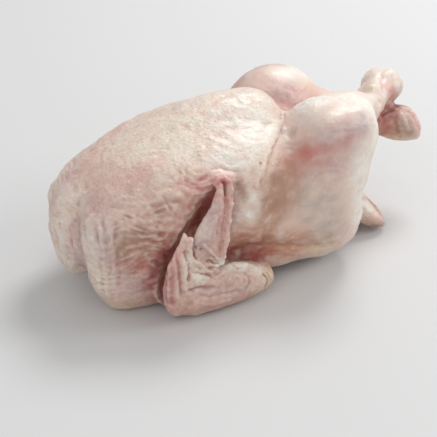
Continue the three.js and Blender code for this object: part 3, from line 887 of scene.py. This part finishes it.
# Patches on both wings, given for the near one.
WING_PATCHES = (
    (LILAC_AND_SHADE, ((-39.5, -74.5, 85.5), (-43, -75, 76), (-46.5, -76, 67), (-48, -76, 58)), 9, 0.55),
    (SHADE, ((-47, -76, 56), (-44, -76, 49), (-40, -75, 44)), 6, 0.5),
    (PALE, ((-46, -75, 80), (-51, -74, 70)), 4, 0.5),
    (BLUSH, ((-36, -73, 84), (-36, -75, 72), (-36, -75, 60)), 3.5, 0.5),
    (BLOOD, ((-29, -66, 105), (-24, -67.5, 104), (-24, -70.5, 100), (-25.5, -72.5, 94),
             (-26, -74, 88)), 4, 0.75),
    (BLUSH, WING_SLIT, 3, 0.8),
    (BLUSH, ((-27, -75, 84), (-29, -75, 70.5), (-30, -75, 59.5), (-32, -73.5, 48)), 4, 0.6),
    (BROWN, ((-27, -72.5, 92), (-27, -73, 91)), 1.4, 0.8),
    (BROWN, ((-29, -74.5, 78), (-29, -74.5, 77.5)), 1.4, 0.8),
    (BROWN, ((-30.5, -75, 70.5), (-30.5, -75, 69.5)), 1.4, 0.8),
    (BROWN, ((-31.5, -74, 61.5), (-32, -74, 61)), 1.4, 0.7),
    (BLUSH, ((-75, -75, 58), (-78, -76, 43), (-78, -75, 27), (-74, -74, 10)), 7, 1),
    (WINE, ((-77, -76, 50), (-78, -77, 38), (-78, -77, 24)), 5, 0.55),
    # Painted highlight along the wrist's raised band.
    (PALE, ((-63, -78, 56), (-62, -79, 48), (-57, -79, 42), (-52, -79, 37)), 5.5, 0.7),
    (BLUSH, ((-63, -77, 72), (-66, -76, 66), (-70, -75, 60)), 3.5, 0.6),
    # Painted highlight along the forearm's top edge.
    (PALE, ((-34, -72, 41), (-20, -70, 33), (-9.5, -70, 31), (-1.5, -73, 28)), 6, 0.85),
    (LILAC_AND_SHADE, ((-58.5, -80, 29.5), (-43, -81.5, 25), (-18, -82, 17.5)), 6, 0.5),
    (SHADE, ((-64, -79, 14), (-40, -80, 9), (-16, -79, 7), (2, -76, 7)), 9, 0.8),
    (SHADE, ((-40, -80, 24), (-24, -79, 26), (-8, -77, 22)), 6, 0.55),
    (BLUSH, ((-64, -79, 14), (-40, -80, 10), (-16, -79, 8)), 7, 0.35),
    (BROWN, ((-55.5, -73.5, 62), (-56, -74, 61)), 1.6, 0.7),
    (BROWN, ((-51, -75.5, 60), (-51, -76, 59.5)), 1.5, 0.7),
    (FAT, ((2, -77, 12), (8, -76, 16), (4, -74, 23)), 5, 0.4),
)
# The two hocks, which lie one above the other, and the tail.
END_PATCHES = (
    # The far thigh's inner side: pink skin, with painted shade in lilac.
    (BLUSH, ((54, 24, 104), (66, 31, 112), (80, 24, 110), (96, 20, 108)), 14, 0.7),
    (LILAC_AND_SHADE, ((58, 22, 106), (76, 26, 110)), 13, 0.6),
    # The upper hock's knob: pale gristle with a painted highlight on top, and painted shade on its
    # left edge.
    (PALE, ((148, 7, 112), (163, 10, 109), (174, 28, 110), (178, 16, 106)), 15, 0.6),
    (SHADE, ((156, 26, 108), (147, 10, 111), (146, 2, 111)), 6, 0.6),
    (BLUSH, ((166, 9, 106), (172, 10, 99), (170, 9, 93)), 8, 0.8),
    (FAT, ((148.5, 6.5, 112.5), (150, 8, 110)), 4, 0.7),
    # The lower hock's cut end, turned from the light: painted shade, and a painted shadow in the
    # crevice under the upper knob.
    (SHADE, ((183, 8, 70), (176, 4, 76), (186, 10, 78)), 18, 0.95),
    (LILAC_AND_SHADE, ((180, 0, 80), (182, -4, 70)), 7, 0.5),
    (BROWN, ((180, -3, 74), (186, -4, 68)), 8, 0.5),
    (SHADE, ((176, 5, 83), (175, -2, 81), (172, -4, 75)), 8, 0.7),
    (BROWN, ((178, 4, 83), (177, -3, 80), (175, -5, 74)), 9, 0.35),
    (BROWN, ((184, 2, 83), (185, -4, 78), (184, -7, 72)), 6, 0.4),
    (WINE, ((159, 6, 79), (165, 7, 82), (173, 9, 84), (182, 14, 85)), 4.5, 0.95),
    (BLOOD, ((160.5, 4.5, 76), (164, 2, 72.5), (160, 5, 68)), 6, 0.75),
    (BLUSH, ((190, 4, 82), (192, -3, 77), (192, -6, 68)), 3, 0.8),
    (FAT, ((165, 2, 64), (175, -4, 62), (188, -6, 63)), 4.5, 0.6),
    (BLUSH, ((188, -5, 78), (190, -8, 70), (190, -10, 64)), 5, 0.7),
    (BLUSH, ((133, -22, 30), (135, -22, 20)), 7, 0.6),
    (BLUSH, VENT, 13, 0.8),
    # Painted shade, dark red, in the vent's slit.
    (DEEP_RED_SHADE, VENT, 5.5, 1),
    (FLESH, ((140, -30, 13), (130, -35, 12), (122, -38, 12)), 5, 0.8),
    # Painted shade, dark red, in the slit under the tail.
    (DEEP_RED_SHADE, ((136, -35, 6), (128, -37, 6), (119, -41, 5)), 5, 1),
    (BLUSH, ((140, -26, 18), (136, -32, 14)), 6, 0.7),
)


def linear(colour):
    """Linear light from a colour as seen, 0 to 255, by the sRGB curve."""
    c = np.array(colour, float) / 255
    return np.where(c <= 0.04045, c / 12.92, ((c + 0.055) / 1.055) ** 2.4)


def paint(mesh, skin_colour):
    """Writes the skin's tone, with painted shade and highlight, and the strength of its grain to
    attributes of the mesh.
    """
    places, _ = read_mesh(mesh)
    tone = np.tile(np.array(skin_colour, float), (len(places), 1))

    def toward(colour, mask):
        nonlocal tone
        tone += (linear(colour) - tone) * np.clip(mask, 0, 1)[:, None]

    for colour, size, seed, strength in MOTTLING:
        toward(colour, strength * np.clip(lumps(places, size, seed), 0, 1))
    ragged = 1 + uneven(places, RAGGEDNESS)
    paler = 1 - FAR_PALENESS * np.clip(places[:, 1] / FAR_PALENESS_FROM, 0, 1)
    for side in (NEAR, FAR):
        here = ragged * (places[:, 1] * side > 0) * paler
        on_trunk = as_near(places, side)
        for colour, path, reach, strength in TRUNK_PATCHES:
            toward(colour, near(on_trunk, path, reach) * strength * here)
        on_wing = as_near_wing(places, side)
        for colour, path, reach, strength in WING_PATCHES:
            toward(colour, near(on_wing, path, reach) * strength * here)
    for colour, path, reach, strength in END_PATCHES:
        toward(colour, near(places, path, reach) * strength * ragged)
    # Painted shade in the skin's hollows and painted highlight on its ridges.
    depth = hollows(mesh)
    strength = HOLLOW_SHADE_STRENGTH - SLIT_STRENGTH_LOST * near(places, WING_SLIT, SLIT_REACH)
    toward(HOLLOW_SHADE, strength * np.clip(depth / FULL_HOLLOW_SHADE - NEARLY_FLAT, 0, 1))
    toward(PALE, RIDGE_HIGHLIGHT * np.clip(-depth / FULL_RIDGE_HIGHLIGHT - NEARLY_FLAT, 0, 1))
    layer = mesh.color_attributes.new("tone", "FLOAT_COLOR", "POINT")
    rgba = np.concatenate([tone, np.ones((len(tone), 1))], axis=1)
    layer.data.foreach_set("color", rgba.astype(np.float32).ravel())
    grain = mesh.attributes.new("grain", "FLOAT", "POINT")
    grain.data.foreach_set("value", coarseness(places).astype(np.float32))


def hollows(mesh):
    """How far each place lies below the skin around it, in millimetres; negative on a ridge."""
    places, normals = read_mesh(mesh)
    ends = np.empty(len(mesh.edges) * 2, np.int32)
    mesh.edges.foreach_get("vertices", ends)
    here = np.concatenate([ends[0::2], ends[1::2]])
    there = np.concatenate([ends[1::2], ends[0::2]])
    neighbours = np.maximum(np.bincount(here, minlength=len(places)), 1)
    soft = places
    for _ in range(HOLLOW_ROUNDS):
        mean = [np.bincount(here, soft[there, axis], len(places)) / neighbours for axis in range(3)]
        soft = 0.5 * soft + 0.5 * np.stack(mean, axis=1)
    return np.einsum("ij,ij->i", soft - places, normals)


class Nodes:
    """Adds nodes to a material's tree and links them."""

    def __init__(self, material):
        material.use_nodes = True
        self.tree = material.node_tree
        self.shader = self.tree.nodes["Principled BSDF"]

    def add(self, kind, **values):
        """A new node, with some of its sockets filled."""
        made = self.tree.nodes.new("ShaderNode" + kind)
        self.fill(made, **values)
        return made

    def fill(self, node, **values):
        """Links or sets the sockets of those names."""
        for name, value in values.items():
            self.put(value, node.inputs[name.replace("_", " ")])

    def put(self, value, socket):
        """Links an output to a socket, or sets the socket to a value."""
        if isinstance(value, bpy.types.NodeSocket):
            self.tree.links.new(value, socket)
        else:
            socket.default_value = value

    def attribute(self, name):
        """A node that reads an attribute of the mesh."""
        made = self.add("Attribute")
        made.attribute_name = name
        return made

    def maths(self, operation, *values):
        """The result of a sum on its values."""
        made = self.add("Math")
        made.operation = operation
        for value, socket in zip(values, made.inputs):
            self.put(value, socket)
        return made.outputs["Value"]


def skin_material():
    """Thin wet skin: mottled, faintly see-through, with feather pits and fine wrinkles."""
    material = bpy.data.materials.new("raw skin")
    nodes = Nodes(material)
    place = nodes.add("TexCoord").outputs["Object"]
    grain = nodes.attribute("grain").outputs["Fac"]
    blotch = nodes.add("TexNoise", Vector=place, Scale=70, Detail=3, Roughness=0.55).outputs["Fac"]
    speckle(nodes, place, grain)
    roughen(nodes, place, grain, blotch)
    gloss = nodes.add(
        "MapRange", Value=blotch, From_Min=0.3, From_Max=0.7, To_Min=0.44, To_Max=0.6)
    nodes.fill(
        nodes.shader, Roughness=gloss.outputs["Result"], Coat_Weight=0.22, Coat_Roughness=0.2,
        Subsurface_Weight=0.15, Subsurface_Radius=(1.0, 0.4, 0.25), Subsurface_Scale=0.0018)
    return material


def speckle(nodes, place, grain):
    """The painted tone, painted shade and highlight included, with darker specks, fewer of them where
    the grain is weak.
    """
    mottle = nodes.add("TexNoise", Vector=place, Scale=420, Detail=5, Roughness=0.7)
    ramp = nodes.add("ValToRGB", Fac=mottle.outputs["Fac"])
    dark, light = ramp.color_ramp.elements
    dark.position = 0.3
    dark.color = (0.84, 0.76, 0.72, 1)
    light.position = 0.65
    light.color = (1.0, 1.0, 1.0, 1)
    speckled = nodes.add("Mix")
    speckled.data_type = "RGBA"
    speckled.blend_type = "MULTIPLY"
    nodes.fill(speckled, Factor=grain)
    first, second = [socket for socket in speckled.inputs if socket.type == "RGBA"]
    nodes.put(nodes.attribute("tone").outputs["Color"], first)
    nodes.put(ramp.outputs["Color"], second)
    (result,) = [socket for socket in speckled.outputs if socket.type == "RGBA"]
    nodes.fill(nodes.shader, Base_Color=result)


def roughen(nodes, place, grain, blotch):
    """Bumps of feather pits, which come and go in blotches, and of a fine drawn-out crinkle."""
    pimples = nodes.add("TexVoronoi", Vector=place, Scale=260, Randomness=0.9)
    pimple = nodes.add(
        "MapRange", Value=pimples.outputs["Distance"],
        From_Min=0.1, From_Max=0.45, To_Min=1.0, To_Max=0.0)
    pitted = nodes.maths("MULTIPLY", pimple.outputs["Result"], blotch)
    drawn_out = nodes.add("Mapping", Vector=place, Scale=(0.6, 0.9, 1.7))
    crinkle = nodes.add(
        "TexNoise", Vector=drawn_out.outputs["Vector"],
        Scale=360, Detail=5, Roughness=0.6, Distortion=0.5)
    height = nodes.maths("MULTIPLY_ADD", crinkle.outputs["Fac"], 1.2, pitted)
    height = nodes.maths("MULTIPLY", grain, height)
    bump = nodes.add("Bump", Strength=0.75, Distance=0.0007, Height=height)
    nodes.fill(nodes.shader, Normal=bump.outputs["Normal"])


# ---- The stage ----
# The view, in degrees and millimetres.
VIEW_AZIMUTH = -28
VIEW_ELEVATION = 31
VIEW_DISTANCE = 1000
VIEW_TARGET = (0, -6, 35)
LENS = 104.05
SENSOR = 36
FLOOR_GAP = 0.4  # so that the skin's underside doesn't lie in the floor
ROOM_LIGHT = 0.58
LAMP_TARGET = (0, 0, 60)
# Round soft lamps: name, place, diameter, watts.
LAMPS = (
    ("window", (1000, 700, 1500), 800, 19.5),
    ("side", (1300, -600, 800), 700, 7),
    ("fill", (-1000, -900, 900), 1200, 5),
)


class CHICKEN_OT_stage(bpy.types.Operator):
    """Adds the pale floor, the soft lights and the camera"""
    bl_idname = "chicken.stage"
    bl_label = "Stage"

    def execute(self, context):
        settings = context.scene.chicken_stage
        bm = bmesh.new()
        bmesh.ops.create_grid(bm, x_segments=1, y_segments=1, size=settings.floor_size / 2)
        bmesh.ops.translate(bm, verts=bm.verts, vec=(0, 0, FLOOR_LEVEL - FLOOR_GAP * MM))
        floor = object_from(bm, "floor")
        floor.data.materials.append(floor_material(settings.floor_colour))
        add_lights()
        add_camera()
        return {"FINISHED"}


def floor_material(colour):
    """A plain dull floor."""
    material = bpy.data.materials.new("pale floor")
    nodes = Nodes(material)
    nodes.fill(nodes.shader, Base_Color=(*colour, 1), Roughness=0.7)
    return material


def add_lights():
    """Even light from all round, and the lamps."""
    world = bpy.data.worlds.new("soft room")
    world.use_nodes = True
    background = world.node_tree.nodes["Background"]
    background.inputs["Color"].default_value = (1.0, 1.0, 1.0, 1)
    background.inputs["Strength"].default_value = ROOM_LIGHT
    bpy.context.scene.world = world
    for name, place, size, power in LAMPS:
        lamp = bpy.data.lights.new(name, "AREA")
        lamp.shape = "DISK"
        lamp.size = size * MM
        lamp.energy = power
        holder = bpy.data.objects.new(name, lamp)
        holder.location = Vector(place) * MM
        aim = Vector(LAMP_TARGET) * MM - holder.location
        holder.rotation_euler = aim.to_track_quat("-Z", "Y").to_euler()
        bpy.context.scene.collection.objects.link(holder)


def add_camera():
    """The camera, which looks at the bird from its near side and a little from the neck end."""
    azimuth = math.radians(VIEW_AZIMUTH)
    elevation = math.radians(VIEW_ELEVATION)
    level = math.cos(elevation)
    back = Vector((math.sin(azimuth) * level, -math.cos(azimuth) * level, math.sin(elevation)))
    lens = bpy.data.cameras.new("camera")
    lens.lens = LENS
    lens.sensor_width = SENSOR
    camera = bpy.data.objects.new("camera", lens)
    camera.location = (Vector(VIEW_TARGET) + back * VIEW_DISTANCE) * MM
    camera.rotation_euler = (-back).to_track_quat("-Z", "Y").to_euler()
    bpy.context.scene.collection.objects.link(camera)
    bpy.context.scene.camera = camera


class CHICKEN_PT_panel(bpy.types.Panel):
    """Lists the chicken's settings and builders"""
    bl_idname = "CHICKEN_PT_panel"
    bl_label = "Raw Chicken"
    bl_space_type = "VIEW_3D"
    bl_region_type = "UI"
    bl_category = "Chicken"

    def draw(self, context):
        for group, operator in (
            (context.scene.chicken_skin, CHICKEN_OT_skin),
            (context.scene.chicken_stage, CHICKEN_OT_stage),
        ):
            box = self.layout.box()
            for prop in group.__annotations__:
                box.prop(group, prop)
            box.operator(operator.bl_idname)


CLASSES = (SkinSettings, StageSettings, CHICKEN_OT_skin, CHICKEN_OT_stage, CHICKEN_PT_panel)


def register():
    """Makes the settings, operators and panel known to Blender."""
    for cls in CLASSES:
        bpy.utils.register_class(cls)
    bpy.types.Scene.chicken_skin = bpy.props.PointerProperty(type=SkinSettings)
    bpy.types.Scene.chicken_stage = bpy.props.PointerProperty(type=StageSettings)


def unregister():
    """Takes back what register did."""
    del bpy.types.Scene.chicken_stage
    del bpy.types.Scene.chicken_skin
    for cls in reversed(CLASSES):
        bpy.utils.unregister_class(cls)


def main():
    """Builds the bird and its stage."""
    register()
    bpy.context.scene.view_settings.view_transform = "Standard"
    bpy.ops.chicken.skin()
    bpy.ops.chicken.stage()


if __name__ == "__main__":
    main()
